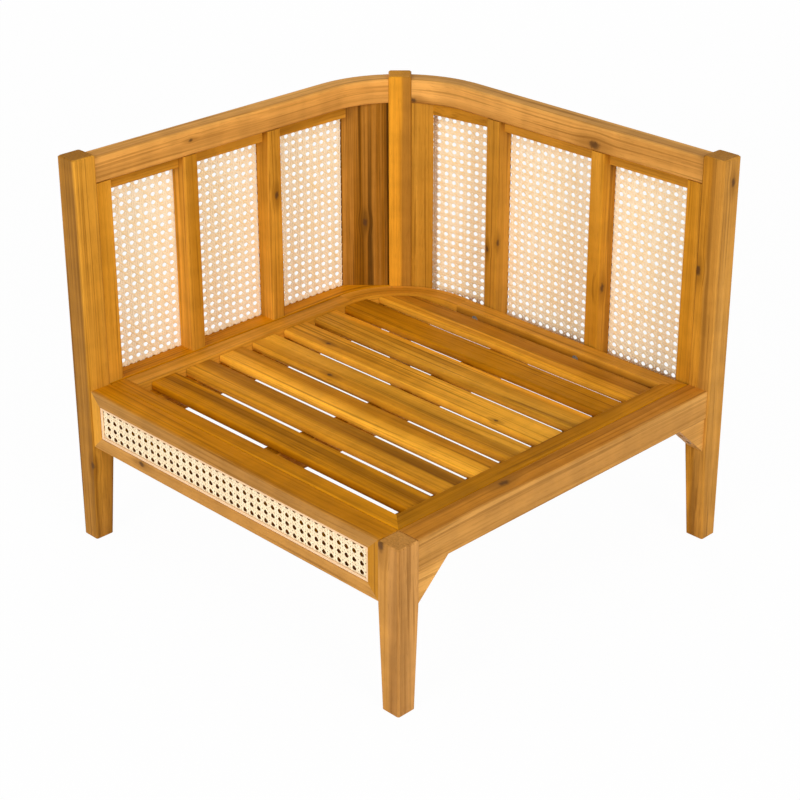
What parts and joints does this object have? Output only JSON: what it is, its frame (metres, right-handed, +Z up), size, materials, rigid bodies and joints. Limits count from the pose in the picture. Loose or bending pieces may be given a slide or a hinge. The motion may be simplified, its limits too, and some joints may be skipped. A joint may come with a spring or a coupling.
{
  "type": "outdoor corner chair",
  "caption": "Wooden outdoor corner chair with a slatted seat, two cane-filled backs that curve into a corner post, a cane front apron and a bracketed side apron.",
  "frame": {"origin": "on the floor under the middle of the square footprint", "axes": "+Z up; the cane apron faces -Y, the open side with brackets faces +X, the backs stand along -X and +Y and meet at the -X +Y corner"},
  "size_m": [0.71, 0.71, 0.636],
  "materials": {
    "frame_wood": "satin oiled",
    "seat_wood": "satin oiled",
    "dark_wood": "satin oiled",
    "dowel_wood": "raw",
    "cane": "matte woven cane",
    "steel": "dark plated"
  },
  "bodies": {
    "root": {"bracket_screws": "steel", "centre_beam": "frame_wood", "corner_post": "frame_wood", "front_bottom_rail": "frame_wood", "front_cane": "cane", "front_dowels": "dowel_wood", "front_left_stile": "frame_wood", "front_leg": "frame_wood", "front_reed": "cane", "front_right_stile": "frame_wood", "front_top_rail": "frame_wood", "left_bead_1": "frame_wood", "left_bead_2": "frame_wood", "left_bead_3": "frame_wood", "left_bottom_rail": "frame_wood", "left_cane_1": "cane", "left_cane_2": "cane", "left_cane_3": "cane", "left_corner_board": "dark_wood", "left_ledger": "frame_wood", "left_post": "frame_wood", "left_stile": "frame_wood", "left_top_rail": "frame_wood", "left_upright_1": "frame_wood", "left_upright_2": "frame_wood", "rear_bead_1": "frame_wood", "rear_bead_2": "frame_wood", "rear_bead_3": "frame_wood", "rear_bottom_rail": "frame_wood", "rear_cane_1": "cane", "rear_cane_2": "cane", "rear_cane_3": "cane", "rear_corner_stile": "frame_wood", "rear_stile": "frame_wood", "rear_top_rail": "frame_wood", "rear_upright_1": "frame_wood", "rear_upright_2": "frame_wood", "right_post": "frame_wood", "ring_bolts": "steel", "ring_corner": "seat_wood", "ring_front_rail": "seat_wood", "ring_left_rail": "seat_wood", "ring_rear_rail": "seat_wood", "ring_side_rail": "seat_wood", "side_apron": "frame_wood", "side_bracket_front": "frame_wood", "side_bracket_rear": "frame_wood", "side_ledger": "frame_wood", "slat_1": "seat_wood", "slat_2": "seat_wood", "slat_3": "seat_wood", "slat_4": "seat_wood", "slat_5": "seat_wood", "slat_6": "seat_wood", "slat_7": "seat_wood", "slat_8": "seat_wood", "slat_screws": "steel"}
  },
  "joints": []
}
